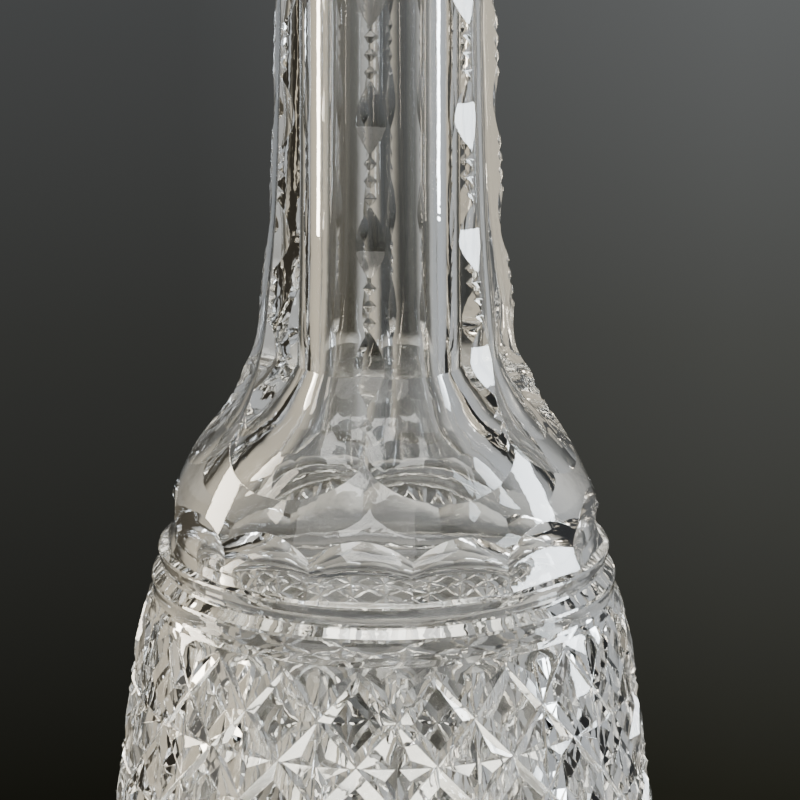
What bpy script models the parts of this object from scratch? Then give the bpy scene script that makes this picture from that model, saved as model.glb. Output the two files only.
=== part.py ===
"""Cut crystal decanter with a lift-off ground stopper, standing on z = 0, in metres.

The bottle is one blown and cut vessel. The stopper is a second solid that slides up out of it.
Every cut is built facet by facet as its wheel leaves it: neck flutes, ridge notches and lenses,
shoulder arches, prismatic rings, the hobnail and cross-cut diamond field, and the star under the base.
"""

import math

import bpy

# The vessel. The bands of cutting stack up from the foot, and the neck takes the height that is left.
BOTTLE_HEIGHT = 0.240
BODY_RADIUS = 0.0528
NECK_RADIUS = 0.02006
FOOT_RADIUS = 0.04066
BORE_RADIUS = 0.0117
WALL = 0.0069
FLOOR_THICKNESS = 0.0125
INNER_FILLET = 0.012
INNER_SHOULDER = 0.0322
BELLY_HEIGHT = 0.038
LIP_HEIGHT = 0.0085
LIP_OVERHANG = 0.0032
RIM_CHAMFER = 0.0008

# Counts of the cutting pattern. Everything is set out from the seven neck flutes.
FLUTES = 7
ARCHES = 2 * FLUTES
DIAMONDS = 3 * FLUTES
DIAMOND_ROWS = 5
NOTCHES = 3
PATTERN_TURN = math.radians(-5.4)

# Heights of the bands of cutting.
HEEL_HEIGHT = 0.0135
LOWER_ARCH_DROP = 0.0030
LOWER_ARCH_BAND = 0.0104
ROW_HEIGHT = 0.01498
FIELD_MARGIN = 0.0015
ARCH_BAND = 0.0069
ARCH_RISE = 0.0032
SHOULDER_BAND = 0.0149
SCALLOP_DROP = 0.0065
NECK_FOOT = 0.0085
LENS_LENGTH = 0.0120
NOTCH_PITCH = 0.0029
SHOULDER_NOTCHES = 3
SHOULDER_NOTCH_START = 0.28

# Rings: (height above the field, depth under the turned body), and the same below the field.
UPPER_RINGS = (
    (0.00952, -0.0001),
    (0.00766, 0.0006),
    (0.00612, 0.0016),
    (0.00435, -0.00025),
    (0.00226, 0.0005),
    (0.00106, 0.0007),
)
LOWER_RINGS = ((0.00156, -0.0004), (0.00374, -0.0006))
RING_LEDGE = 0.0003
LEDGE_STEP = 0.0009

# Depths of the wheel cuts.
LENS_DEPTH = 0.00145
NOTCH_DEPTH = 0.0006
RIDGE_FLAT = 0.00035
THUMB_DEPTH = 0.0010
DIAGONAL_DEPTH = 0.00148
VERTICAL_RISE = 0.0002
LEVEL_RISE = 0.00025
CUT_SLOPE = 0.64
TABLE_EDGE = 0.39
FOOT_RING_WIDTH = 0.0062
STAR_DEPTH = 0.0022
STAR_LENGTH = 0.0168
STAR_RISE = 0.00066
BASE_RECESS = 0.0014

# Stopper sizes and fits. The ground taper is radius per length.
SOCKET_LENGTH = 0.022
GROUND_TAPER = 0.05
STOPPER_GAP = 0.0003
HEAD_RADIUS = 0.0215
STALK_RADIUS = 0.0090
STALK_HEIGHT = 0.0032
FLANGE_OVERLAP = 0.0032
FLANGE_THICKNESS = 0.0028
FLANGE_ROUND = 0.0011
FLANGE_RELIEF = 0.00056
PLUG_SHOULDER = 0.0010
PLUG_CHAMFER = 0.0008
HEAD_TOP_ANGLE = math.radians(24.0)
HEAD_ROW_ANGLE = math.radians(10.5)

# Lip profile: (share of the overhang left to the widest point, share of the lip's height).
LIP_CURVE = ((0.65, 1.0), (0.13, 0.88), (0.0, 0.68), (0.13, 0.47), (0.70, 0.23))

# One lens: (share of its length from the top, share of its depth).
LENS_CURVE = ((0.0, 0.0), (0.15, 0.46), (0.35, 0.85), (0.58, 1.0))
NOTCH_SHARE = 0.34

# The inside opens over its own height, this share of it above the apex. Powers shape the curves.
INNER_RISE = 0.30
INNER_EASE = 1.7
FLUTE_EASE = 1.3

# Where the diamond field's cuts run out at its edge, as shares of a cut's depth and of the margin.
RUN_OUT_DEPTH = 0.55
RUN_OUT_DIAGONAL = 0.6
RUN_OUT_GROOVE = 0.8
GROOVE_BREAK = 0.1

# Turned outline: (share of a height, share of a radius), over the heel, the body and the neck.
HEEL_CURVE = (
    (0.0333, 0.0954),
    (0.1030, 0.1824),
    (0.2121, 0.3694),
    (0.3152, 0.5478),
    (0.4242, 0.7044),
    (0.5273, 0.8174),
    (0.6303, 0.9001),
    (0.7394, 0.9696),
    (0.8970, 1.0),
)
BODY_CURVE = (
    (0.3061, 1.0),
    (0.3630, 0.9806),
    (0.4182, 0.9548),
    (0.4851, 0.9177),
    (0.5671, 0.8694),
    (0.6290, 0.8306),
    (0.6892, 0.7968),
    (0.7193, 0.7694),
    (0.7511, 0.7322),
    (0.7712, 0.7048),
    (0.8423, 0.6371),
    (0.8732, 0.6097),
    (0.9033, 0.5613),
    (0.9334, 0.5032),
    (0.9644, 0.4371),
)
# The neck's curve is set by height above the apex, so a longer neck stays slim.
NECK_CURVE = (
    (0.0, 0.3452),
    (0.0035, 0.2726),
    (0.0076, 0.2177),
    (0.0109, 0.1774),
    (0.0166, 0.1323),
    (0.0244, 0.1000),
    (0.0329, 0.0661),
    (0.0456, 0.0371),
    (0.0624, 0.0145),
    (0.0704, 0.0048),
    (0.0840, 0.0),
)

# Levels that follow from the sizes above.
LOWER_LEDGE = HEEL_HEIGHT + LOWER_ARCH_BAND
FIELD_FOOT = LOWER_LEDGE + RING_LEDGE + LOWER_RINGS[-1][0]
BOTTOM_APEX = FIELD_FOOT + FIELD_MARGIN
TOP_APEX = BOTTOM_APEX + DIAMOND_ROWS * ROW_HEIGHT
FIELD_TOP = TOP_APEX + FIELD_MARGIN
BAND_LEDGE = FIELD_TOP + UPPER_RINGS[0][0] + RING_LEDGE
ARCH_CUSP = BAND_LEDGE + ARCH_BAND
APEX_LEVEL = ARCH_CUSP + SHOULDER_BAND
LENS_FOOT = APEX_LEVEL + NECK_FOOT
FLUTE_TOP = BOTTLE_HEIGHT - LIP_HEIGHT
SOCKET_FOOT = BOTTLE_HEIGHT - SOCKET_LENGTH
SOCKET_RADIUS = BORE_RADIUS + GROUND_TAPER * SOCKET_LENGTH
FLANGE_RADIUS = SOCKET_RADIUS + FLANGE_OVERLAP

# Mesh steps that carry no size.
SHOULDER_STEPS = 5
CAVITY_COLUMNS = 28
LOWER_COLUMNS = 56
HEEL_STEPS = (0.66, 0.37, 0.12)
FILLET_ANGLES = (15.0, 45.0, 70.0)
CAVITY_STEPS = 5
INNER_STEPS = 6
HALF_FLUTE = math.pi / FLUTES
HALF_ARCH = math.pi / ARCHES


def smooth(points, x):
    """Cubic curve through (x, y) points listed with x rising, straight beyond its ends."""
    slopes = []
    for i in range(len(points)):
        low = points[max(i - 1, 0)]
        high = points[min(i + 1, len(points) - 1)]
        slopes.append((high[1] - low[1]) / (high[0] - low[0]))
    if x <= points[0][0]:
        return points[0][1] + slopes[0] * (x - points[0][0])
    if x >= points[-1][0]:
        return points[-1][1]
    i = max(k for k in range(len(points) - 1) if points[k][0] <= x)
    span = points[i + 1][0] - points[i][0]
    t = (x - points[i][0]) / span
    start = (1 + 2 * t) * (1 - t) ** 2 * points[i][1] + t * (1 - t) ** 2 * span * slopes[i]
    end = t * t * (3 - 2 * t) * points[i + 1][1] + t * t * (t - 1) * span * slopes[i + 1]
    return start + end


def outline_points():
    """(height, radius) points of the turned outline, from the foot to the top of the flutes."""
    heel = BODY_RADIUS - FOOT_RADIUS
    body = BODY_RADIUS - NECK_RADIUS
    points = [(x * BELLY_HEIGHT, FOOT_RADIUS + y * heel) for x, y in HEEL_CURVE]
    points += [(x * APEX_LEVEL, NECK_RADIUS + y * body) for x, y in BODY_CURVE]
    points += [(APEX_LEVEL + x, NECK_RADIUS + y * body) for x, y in NECK_CURVE]
    return points


OUTLINE = outline_points()


def blank(z):
    """Radius of the turned outline, and on the neck of the ridges between flutes."""
    return smooth(OUTLINE, z)


def panel(z):
    """Distance of a flat flute floor from the axis, down to where it runs out at the scallops."""
    fall = max(APEX_LEVEL - z, 0.0) / SCALLOP_DROP
    narrow = math.cos(HALF_FLUTE)
    return blank(z) * (narrow + (1 - narrow) * fall**FLUTE_EASE)


def cavity(z):
    """Inner radius: the bore, opening at the shoulder into the body inside its wall."""
    opening = (APEX_LEVEL + INNER_SHOULDER * INNER_RISE - z) / INNER_SHOULDER
    opening = min(max(opening, 0.0), 1.0)
    full = blank(z) - WALL
    return BORE_RADIUS + (full - BORE_RADIUS) * (1 - (1 - opening) ** INNER_EASE)


class Shell:
    """Points and faces of one mesh, built ring by ring from the top outside to the top inside."""

    def __init__(self):
        self.points = []
        self.faces = []

    def point(self, r, azimuth, z):
        self.points.append((r * math.sin(azimuth), -r * math.cos(azimuth), z))
        return len(self.points) - 1

    def ring(self, spots):
        """A closed ring from (radius, azimuth, height) spots in rising azimuth."""
        return [(spot[1], self.point(*spot)) for spot in spots]

    def circle(self, r, z, columns):
        turn = 2 * math.pi / columns
        return self.ring([(r, PATTERN_TURN + turn * k, z) for k in range(columns)])

    def bridge(self, upper, lower):
        """Faces between two rings, matching their azimuths where the counts differ."""
        if len(upper) == len(lower) and abs(upper[0][0] - lower[0][0]) < 1e-6:
            self.bridge_even(upper, lower)
            return
        up = upper + [(upper[0][0] + 2 * math.pi, upper[0][1])]
        low = lower + [(lower[0][0] + 2 * math.pi, lower[0][1])]
        i = 0
        j = 0
        while i < len(upper) or j < len(lower):
            up_next = up[i + 1][0] if i < len(upper) else math.inf
            low_next = low[j + 1][0] if j < len(lower) else math.inf
            if up_next <= low_next + 1e-9:
                self.faces.append((up[i][1], low[j][1], up[i + 1][1]))
                i += 1
            else:
                self.faces.append((up[i][1], low[j][1], low[j + 1][1]))
                j += 1

    def bridge_even(self, upper, lower):
        count = len(upper)
        for k in range(count):
            n = (k + 1) % count
            self.faces.append((upper[k][1], lower[k][1], lower[n][1], upper[n][1]))

    def chain(self, rings):
        for upper, lower in zip(rings, rings[1:]):
            self.bridge(upper, lower)

    def cap(self, around, z):
        """Closes a ring with a fan about the axis that faces down."""
        centre = self.point(0.0, 0.0, z)
        for k in range(len(around)):
            n = (k + 1) % len(around)
            self.faces.append((around[k][1], centre, around[n][1]))

    def close_up(self, around, z):
        """Closes a ring with a fan about the axis that faces up."""
        centre = self.point(0.0, 0.0, z)
        for k in range(len(around)):
            n = (k + 1) % len(around)
            self.faces.append((around[k][1], around[n][1], centre))

    def mesh(self, name):
        data = bpy.data.meshes.new(name)
        data.from_pydata(self.points, [], self.faces)
        data.update()
        obj = bpy.data.objects.new(name, data)
        bpy.context.scene.collection.objects.link(obj)
        return obj


def clear_scene():
    for obj in list(bpy.data.objects):
        bpy.data.objects.remove(obj)


def crystal(name, tint, roughness):
    material = bpy.data.materials.new(name)
    material.use_nodes = True
    shader = material.node_tree.nodes["Principled BSDF"]
    shader.inputs["Base Color"].default_value = (*tint, 1.0)
    shader.inputs["Roughness"].default_value = roughness
    shader.inputs["Metallic"].default_value = 0.0
    shader.inputs["IOR"].default_value = 1.545
    shader.inputs["Transmission Weight"].default_value = 1.0
    return material


# Neck: flutes, and the notches and lenses cut across the ridges between them.


def ridge_cuts():
    """(height, depth) stations down one ridge, from the flute tops to the foot of the last lens."""
    stations = [(FLUTE_TOP, 0.0)]
    period = LENS_LENGTH + NOTCHES * NOTCH_PITCH
    count = int((FLUTE_TOP - LENS_FOOT - NOTCH_PITCH / 2) / period)
    for index in range(count):
        top = LENS_FOOT + (count - index) * period
        for k in range(NOTCHES):
            middle = top - (k + 0.5) * NOTCH_PITCH
            stations.append((middle + NOTCH_SHARE * NOTCH_PITCH, 0.0))
            stations.append((middle, NOTCH_DEPTH))
            stations.append((middle - NOTCH_SHARE * NOTCH_PITCH, 0.0))
        top -= NOTCHES * NOTCH_PITCH
        for part, depth in LENS_CURVE:
            stations.append((top - part * LENS_LENGTH, depth * LENS_DEPTH))
    stations.append((LENS_FOOT, 0.0))
    return stations


def cut_width(ridge_radius, depth):
    """Half angle of a tangent cut of this depth across a ridge."""
    half = max(depth / math.tan(HALF_FLUTE), RIDGE_FLAT)
    return math.atan(half / (ridge_radius - depth))


def flute_offsets(width, steps):
    """Azimuths of one flute's columns, from its ridge to the next."""
    rise = [width + (HALF_FLUTE - width) * k / SHOULDER_STEPS for k in range(steps)]
    if not steps:
        return [0.0, width, 2 * HALF_FLUTE - width]
    fall = [2 * HALF_FLUTE - value for value in reversed(rise)]
    return [0.0] + rise + [HALF_FLUTE] + fall


def neck_radius(offset, z, width, depth):
    """Radius at an azimuth offset from the flute's first ridge."""
    near = min(offset, 2 * HALF_FLUTE - offset)
    if depth > 0.0 and near <= width + 1e-9:
        return (panel(z) / math.cos(HALF_FLUTE) - depth) / math.cos(near)
    return panel(z) / math.cos(HALF_FLUTE - near)


def neck_ring(shell, z, depth, steps):
    width = cut_width(blank(z), depth)
    spots = []
    for flute in range(FLUTES):
        start = PATTERN_TURN + 2 * HALF_FLUTE * flute
        for offset in flute_offsets(width, steps):
            spots.append((neck_radius(offset, z, width, depth), start + offset, z))
    return shell.ring(spots)


def neck_rings(shell):
    rings = []
    for z, depth in ridge_cuts():
        fine = z < LENS_FOOT + LENS_LENGTH
        rings.append(neck_ring(shell, z, depth, SHOULDER_STEPS * fine))
    return rings


# Shoulder: the flutes run out in scallops that meet at an apex under every ridge.


def scallop(near):
    """Height where a flute floor runs out through the blank, at this angle from the ridge."""
    low = APEX_LEVEL - SCALLOP_DROP
    high = APEX_LEVEL
    for _ in range(50):
        middle = (low + high) / 2
        if blank(middle) * math.cos(HALF_FLUTE - near) > panel(middle):
            high = middle
        else:
            low = middle
    return (low + high) / 2


def shoulder_stations():
    """(share of the way from the last lens to the apex, notch depth)."""
    start = SHOULDER_NOTCH_START
    pitch = (1 - start) / SHOULDER_NOTCHES
    stations = [(start, 0.0)]
    for k in range(SHOULDER_NOTCHES):
        stations.append((start + pitch * (k + 0.5), NOTCH_DEPTH))
        stations.append((start + pitch * (k + 1), 0.0))
    return stations


def shoulder_ring(shell, share, depth):
    top = LENS_FOOT
    ridge_z = top - share * (top - APEX_LEVEL)
    even = HALF_FLUTE / (SHOULDER_STEPS + 1)
    width = cut_width(blank(ridge_z), depth)
    width += (even - width) * share**3
    spots = []
    for flute in range(FLUTES):
        start = PATTERN_TURN + 2 * HALF_FLUTE * flute
        for offset in flute_offsets(width, SHOULDER_STEPS):
            near = min(offset, 2 * HALF_FLUTE - offset)
            z = top - share * (top - scallop(near))
            r = panel(z) / math.cos(HALF_FLUTE - near)
            if depth > 0.0 and near < 1e-9:
                r -= depth
            spots.append((r, start + offset, z))
    return shell.ring(spots)


# Arches: a row of shallow thumbprints, two to each flute.


def arch_share(azimuth):
    """0 at the middle of an arch and 1 at its cusps, with the angle from that middle."""
    near = (azimuth - PATTERN_TURN) % (2 * HALF_ARCH)
    near = min(near, 2 * HALF_ARCH - near)
    return near / HALF_ARCH, near


def arch_band(shell, azimuths, cusp, rise, ledge, ledge_radius):
    """Three rings of an arch row: its curved edge, its middle, and its end on a ring's ledge."""
    edge = []
    middle = []
    end = []
    for azimuth in azimuths:
        share, near = arch_share(azimuth)
        z = cusp + rise * (1 - share**2)
        floor = blank(z) * math.cos(near)
        edge.append((blank(z), azimuth, z))
        half = ((floor + ledge_radius) / 2 - THUMB_DEPTH) / math.cos(near)
        middle.append((half, azimuth, (z + ledge) / 2))
        end.append((ledge_radius / math.cos(near), azimuth, ledge))
    return [shell.ring(edge), shell.ring(middle), shell.ring(end)]


def plain_ring(shell, azimuths, z):
    return shell.ring([(blank(z), azimuth, z) for azimuth in azimuths])


def ledge_beside(z, proud):
    """Radius at an arch's middle of the ledge where a row of arches meets a ring."""
    return (blank(z) + proud - LEDGE_STEP) * math.cos(HALF_ARCH)


def upper_body_rings(shell, scallop_ring):
    azimuths = [azimuth for azimuth, _ in scallop_ring]
    rings = [scallop_ring]
    heights = [shell.points[index][2] for _, index in scallop_ring]
    half = []
    for azimuth, z in zip(azimuths, heights):
        share = arch_share(azimuth)[0]
        below = ARCH_CUSP + ARCH_RISE * (1 - share**2)
        middle = (z + below) / 2
        half.append((blank(middle), azimuth, middle))
    rings.append(shell.ring(half))
    ledge_radius = ledge_beside(BAND_LEDGE, -UPPER_RINGS[0][1])
    rings += arch_band(shell, azimuths, ARCH_CUSP, ARCH_RISE, BAND_LEDGE, ledge_radius)
    for height, depth in UPPER_RINGS:
        z = FIELD_TOP + height
        spots = [(blank(z) - depth, azimuth, z) for azimuth in azimuths]
        rings.append(shell.ring(spots))
    return rings


def lower_body_rings(shell, columns):
    azimuths = [PATTERN_TURN + 2 * math.pi * k / columns for k in range(columns)]
    rings = []
    for height, depth in LOWER_RINGS:
        z = FIELD_FOOT - height
        spots = [(blank(z) - depth, azimuth, z) for azimuth in azimuths]
        rings.append(shell.ring(spots))
    ledge_radius = ledge_beside(LOWER_LEDGE, -LOWER_RINGS[-1][1])
    drop = -LOWER_ARCH_DROP
    band = arch_band(shell, azimuths, HEEL_HEIGHT, drop, LOWER_LEDGE, ledge_radius)
    rings += band[::-1]
    plain = HEEL_HEIGHT - LOWER_ARCH_DROP
    for share in HEEL_STEPS:
        rings.append(plain_ring(shell, azimuths, share * plain))
    foot = [(FOOT_RADIUS, azimuth, 0.0) for azimuth in azimuths]
    rings.append(shell.ring(foot))
    return rings


# Diamond field: diagonal mitre cuts, vertical cuts at every A node, level cuts at every B node.


def cell_heights():
    """Rises per cell of the three cuts' faces, on the cross-cut side of a diagonal."""
    wide = math.pi * blank((TOP_APEX + BOTTOM_APEX) / 2) / DIAMONDS
    tall = half_row()
    across = wide * tall / math.hypot(wide, tall)
    return CUT_SLOPE * across, CUT_SLOPE * wide, CUT_SLOPE * tall


def cut_depths():
    """Depths of the diagonal, vertical and level cuts, each shallower than the one before."""
    upright = DIAGONAL_DEPTH - VERTICAL_RISE
    return DIAGONAL_DEPTH, upright, upright - LEVEL_RISE


def half_row():
    return ROW_HEIGHT / 2


def cell_polygons():
    """Facets of one quarter cell, as (x, y, height), from A at (0, 0) to B at (1, 1)."""
    run_d, run_v, run_h = cell_heights()
    deep, upright, flat = cut_depths()
    # The tip is where the three cut faces meet: the same height on each.
    total = 1 + run_d / run_h + run_d / run_v
    tip_h = (run_d * (1 - flat / run_h - upright / run_v) - deep) / total
    tip = ((tip_h + upright) / run_v, 1 - (tip_h + flat) / run_h, min(tip_h, 0.0))
    node_a = (0.0, 0.0, -deep)
    node_b = (1.0, 1.0, -deep)
    node_c = (0.0, 1.0, -upright)
    on_vertical = (0.0, (deep - upright) / run_d, -upright)
    on_level = (1.0 - (deep - flat) / run_d, 1.0, -flat)
    meet = ((upright - flat) / run_v, 1.0, -flat)
    table_a = (TABLE_EDGE, 0.0, 0.0)
    table_b = (1.0, 1.0 - TABLE_EDGE, 0.0)
    table = (1.0, 0.0, 0.0)
    return [
        [table, table_b, table_a],
        [node_a, table_a, table_b, node_b],
        [node_a, node_b, on_level, tip, on_vertical],
        [on_vertical, tip, meet, node_c],
        [meet, tip, on_level],
    ]


def edge_polygons(stretch):
    """Facets of the quarter cell at the field's edge, where the cuts run out into plain glass."""
    run_d, run_v, _ = cell_heights()
    deep, upright, _ = cut_depths()
    shallow = RUN_OUT_DEPTH * deep
    node_a = (0.0, 0.0, -deep)
    node_b = (1.0, 1.0, -shallow)
    on_vertical = (0.0, (deep - upright) / run_d, -upright)
    side = upright / run_v
    corner = (side, side + deep / run_d, 0.0)
    over_b = (1.0, 1.0 + RUN_OUT_DIAGONAL * stretch, 0.0)
    groove_top = (0.0, 1.0 - GROOVE_BREAK * stretch, -upright)
    groove_end = (0.0, 1.0 + RUN_OUT_GROOVE * stretch, 0.0)
    groove_side = (side, 1.0, 0.0)
    table_a = (TABLE_EDGE, 0.0, 0.0)
    table_b = (1.0, 1.0 - TABLE_EDGE * RUN_OUT_DEPTH, 0.0)
    rim_a = (0.0, 1.0 + stretch, 0.0)
    rim_b = (1.0, 1.0 + stretch, 0.0)
    return [
        [(1.0, 0.0, 0.0), table_b, table_a],
        [node_a, table_a, table_b, node_b],
        [node_a, node_b, over_b, corner, on_vertical],
        [on_vertical, corner, groove_side, groove_top],
        [groove_top, groove_side, groove_end],
        [corner, over_b, rim_b, groove_side],
        [groove_side, rim_b, rim_a, groove_end],
    ]


class Field:
    """The band of diamonds, welded on its own grid of half columns."""

    def __init__(self, shell):
        self.shell = shell
        self.seen = {}

    def spot(self, column, z, height):
        key = (round(column * 1e5) % round(2 * DIAMONDS * 1e5), round(z * 1e8))
        if key not in self.seen:
            step = 1e-4
            lean = (blank(z + step) - blank(z - step)) / (2 * step)
            scale = 1 / math.hypot(1.0, lean)
            azimuth = PATTERN_TURN + math.pi * (column + 1) / DIAMONDS
            r = blank(z) + height * scale
            self.seen[key] = (azimuth, self.shell.point(r, azimuth, z - height * lean * scale))
        return self.seen[key][1]

    def quarter(self, polygons, column, side, z, up):
        """Lays one quarter cell from its A node, mirrored to the left by side and down by up."""
        for polygon in polygons:
            face = [
                self.spot(column + side * x, z + up * y * half_row(), height)
                for x, y, height in polygon
            ]
            if side * up < 0:
                face.reverse()
            self.shell.faces.append(tuple(face))

    def rim(self, z):
        """The ring of points along one level edge of the field."""
        found = [
            value for key, value in self.seen.items() if key[1] == round(z * 1e8)
        ]
        low = PATTERN_TURN - 1e-6
        wrapped = [((a - low) % (2 * math.pi) + low, index) for a, index in found]
        return sorted(wrapped)

    def lay(self):
        inner = cell_polygons()
        top_stretch = FIELD_MARGIN / half_row()
        outer = edge_polygons(top_stretch)
        for row in range(DIAMOND_ROWS):
            z = TOP_APEX - half_row() * (2 * row + 1)
            above = outer if row == 0 else inner
            below = outer if row == DIAMOND_ROWS - 1 else inner
            for column in range(DIAMONDS):
                for side in (-1, 1):
                    self.quarter(above, 2 * column, side, z, 1)
                    self.quarter(below, 2 * column, side, z, -1)
        top = TOP_APEX + top_stretch * half_row()
        bottom = BOTTOM_APEX - top_stretch * half_row()
        return self.rim(top), self.rim(bottom)


# Underside and inside.


def star_base(shell, foot):
    """Recess and star cut inside the flat foot ring."""
    inner_radius = FOOT_RADIUS - FOOT_RING_WIDTH
    flat_edge = shell.circle(inner_radius, 0.0, len(foot))
    shell.bridge(foot, flat_edge)
    rays = 2 * ARCHES
    recess = shell.circle(inner_radius - BASE_RECESS, BASE_RECESS, rays)
    shell.bridge(flat_edge, recess)
    tip = inner_radius - 2 * BASE_RECESS
    spots = []
    for k in range(rays):
        between = k % 2
        rise = BASE_RECESS + STAR_RISE * between
        spots.append((tip - STAR_LENGTH * between, PATTERN_TURN + 2 * math.pi * k / rays, rise))
    star = shell.ring(spots)
    shell.bridge(recess, star)
    shell.cap(star, BASE_RECESS + STAR_DEPTH)


def lip_rings(shell):
    """Lip from the mouth's inner edge outward and down to the top of the flutes."""
    columns = 2 * DIAMONDS
    widest = NECK_RADIUS + LIP_OVERHANG
    rings = [shell.circle(SOCKET_RADIUS + RIM_CHAMFER, BOTTLE_HEIGHT, columns)]
    for inward, share in LIP_CURVE:
        r = widest - inward * LIP_OVERHANG
        rings.append(shell.circle(r, FLUTE_TOP + share * LIP_HEIGHT, columns))
    return rings


def inside_rings(shell):
    """The cavity, the bore and the socket, from the floor up to the mouth."""
    start = FLOOR_THICKNESS + INNER_FILLET
    rings = []
    for angle in FILLET_ANGLES:
        turn = math.radians(angle)
        r = cavity(start) - INNER_FILLET * (1 - math.sin(turn))
        rings.append(shell.circle(r, start - INNER_FILLET * math.cos(turn), CAVITY_COLUMNS))
    opened = APEX_LEVEL - (1 - INNER_RISE) * INNER_SHOULDER
    heights = [start + (opened - start) * k / CAVITY_STEPS for k in range(CAVITY_STEPS)]
    heights += [opened + INNER_SHOULDER * k / INNER_STEPS for k in range(INNER_STEPS + 1)]
    for z in heights:
        rings.append(shell.circle(cavity(z), z, CAVITY_COLUMNS))
    rings.append(shell.circle(BORE_RADIUS, SOCKET_FOOT, CAVITY_COLUMNS))
    rings.append(shell.circle(SOCKET_RADIUS, BOTTLE_HEIGHT - RIM_CHAMFER, CAVITY_COLUMNS))
    return rings


def build_bottle():
    shell = Shell()
    lip = lip_rings(shell)
    neck = neck_rings(shell)
    shoulder = [shoulder_ring(shell, *station) for station in shoulder_stations()]
    upper = upper_body_rings(shell, shoulder[-1])
    field_top, field_bottom = Field(shell).lay()
    lower = lower_body_rings(shell, LOWER_COLUMNS)
    shell.chain(lip + neck + shoulder)
    shell.chain(upper + [field_top])
    shell.chain([field_bottom] + lower)
    star_base(shell, lower[-1])
    inside = inside_rings(shell)
    shell.close_up(inside[0], FLOOR_THICKNESS)
    shell.chain(inside + lip[:1])
    return shell.mesh("bottle")


# Stopper: lapidary head over a flange and a ground plug.


def head_angles():
    """Polar angles of the head's facet corners. Each kite's four corners lie in one plane."""
    angles = [HEAD_TOP_ANGLE, HEAD_TOP_ANGLE + HEAD_ROW_ANGLE]
    squeeze = math.cos(math.pi / ARCHES)
    while math.sin(angles[-1]) * HEAD_RADIUS > 1.16 * STALK_RADIUS or angles[-1] < math.pi / 2:
        above, here = angles[-2], angles[-1]
        low, high = here + 1e-4, here + 1.2
        for _ in range(60):
            below = (low + high) / 2
            rise = math.cos(above) - math.cos(below)
            share = (math.cos(above) - math.cos(here)) / rise
            chord = math.sin(above) + share * (math.sin(below) - math.sin(above))
            if chord > math.sin(here) * squeeze:
                low = below
            else:
                high = below
        angles.append(below)
    return angles[:-1]


def build_stopper():
    shell = Shell()
    seat = BOTTLE_HEIGHT + STOPPER_GAP
    flange_top = seat + FLANGE_THICKNESS
    angles = head_angles()
    stalk_top = flange_top + STALK_HEIGHT
    centre = stalk_top - HEAD_RADIUS * math.cos(angles[-1])
    turn = 2 * math.pi / ARCHES
    rings = []
    for row, angle in enumerate(angles):
        r = HEAD_RADIUS * math.sin(angle)
        z = centre + HEAD_RADIUS * math.cos(angle)
        start = PATTERN_TURN + (row % 2) * turn / 2
        rings.append(shell.ring([(r, start + turn * k, z) for k in range(ARCHES)]))
    plug_top = SOCKET_RADIUS - STOPPER_GAP
    plug_foot = BORE_RADIUS - STOPPER_GAP
    plug_end = SOCKET_FOOT - PLUG_CHAMFER
    spots = (
        (STALK_RADIUS, stalk_top - 0.35 * STALK_HEIGHT),
        (STALK_RADIUS, flange_top + 0.25 * STALK_HEIGHT),
        (STALK_RADIUS + 0.25 * STALK_HEIGHT, flange_top),
        (FLANGE_RADIUS - FLANGE_ROUND, flange_top),
        (FLANGE_RADIUS, flange_top - FLANGE_ROUND),
        (FLANGE_RADIUS, seat + FLANGE_RELIEF),
        (FLANGE_RADIUS - FLANGE_RELIEF, seat),
        (plug_top, seat),
        (plug_top, BOTTLE_HEIGHT - PLUG_SHOULDER),
        (plug_foot, SOCKET_FOOT),
        (plug_foot - PLUG_CHAMFER, plug_end),
    )
    rings += [shell.circle(r, z, CAVITY_COLUMNS) for r, z in spots]
    shell.chain(rings)
    shell.cap(rings[-1], plug_end)
    shell.close_up(rings[0], centre + HEAD_RADIUS * math.cos(angles[0]))
    shell.points = [(x, y, z - seat) for x, y, z in shell.points]
    stopper = shell.mesh("stopper")
    stopper.location = (0.0, 0.0, seat)
    return stopper


def finish(obj, material, sharp):
    obj.data.materials.append(material)
    for face in obj.data.polygons:
        face.use_smooth = True
    obj.data.set_sharp_from_angle(angle=math.radians(sharp))


def main():
    clear_scene()
    bottle = build_bottle()
    finish(bottle, crystal("bottle_crystal", (0.96, 0.97, 0.97), 0.03), 11.0)
    stopper = build_stopper()
    finish(stopper, crystal("stopper_crystal", (0.95, 0.97, 0.98), 0.04), 8.0)


main()
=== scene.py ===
"""Cut crystal decanter with a lift-off ground stopper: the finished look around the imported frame.

The bottle and the stopper are rebuilt here with the same sizes as the frame, but with smooth blown
walls, hollow ground flutes and finer cuts, and each takes the place of its frame node.
"""

import math

import bpy
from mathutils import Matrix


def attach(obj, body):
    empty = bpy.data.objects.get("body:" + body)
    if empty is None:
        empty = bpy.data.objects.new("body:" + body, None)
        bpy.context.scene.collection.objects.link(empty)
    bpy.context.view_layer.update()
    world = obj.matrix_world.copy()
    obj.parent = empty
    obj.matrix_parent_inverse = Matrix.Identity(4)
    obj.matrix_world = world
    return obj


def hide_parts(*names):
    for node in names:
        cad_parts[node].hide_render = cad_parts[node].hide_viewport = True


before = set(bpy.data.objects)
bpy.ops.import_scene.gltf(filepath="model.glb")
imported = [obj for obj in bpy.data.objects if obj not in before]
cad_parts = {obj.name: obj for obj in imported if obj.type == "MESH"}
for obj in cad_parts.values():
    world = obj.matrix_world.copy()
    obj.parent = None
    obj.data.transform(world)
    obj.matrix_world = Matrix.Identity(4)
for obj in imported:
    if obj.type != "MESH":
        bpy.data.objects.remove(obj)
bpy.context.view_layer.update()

# The vessel. The bands of cutting stack up from the foot, and the neck takes the height that is left.
BOTTLE_HEIGHT = 0.240
BODY_RADIUS = 0.0528
NECK_RADIUS = 0.02006
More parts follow.
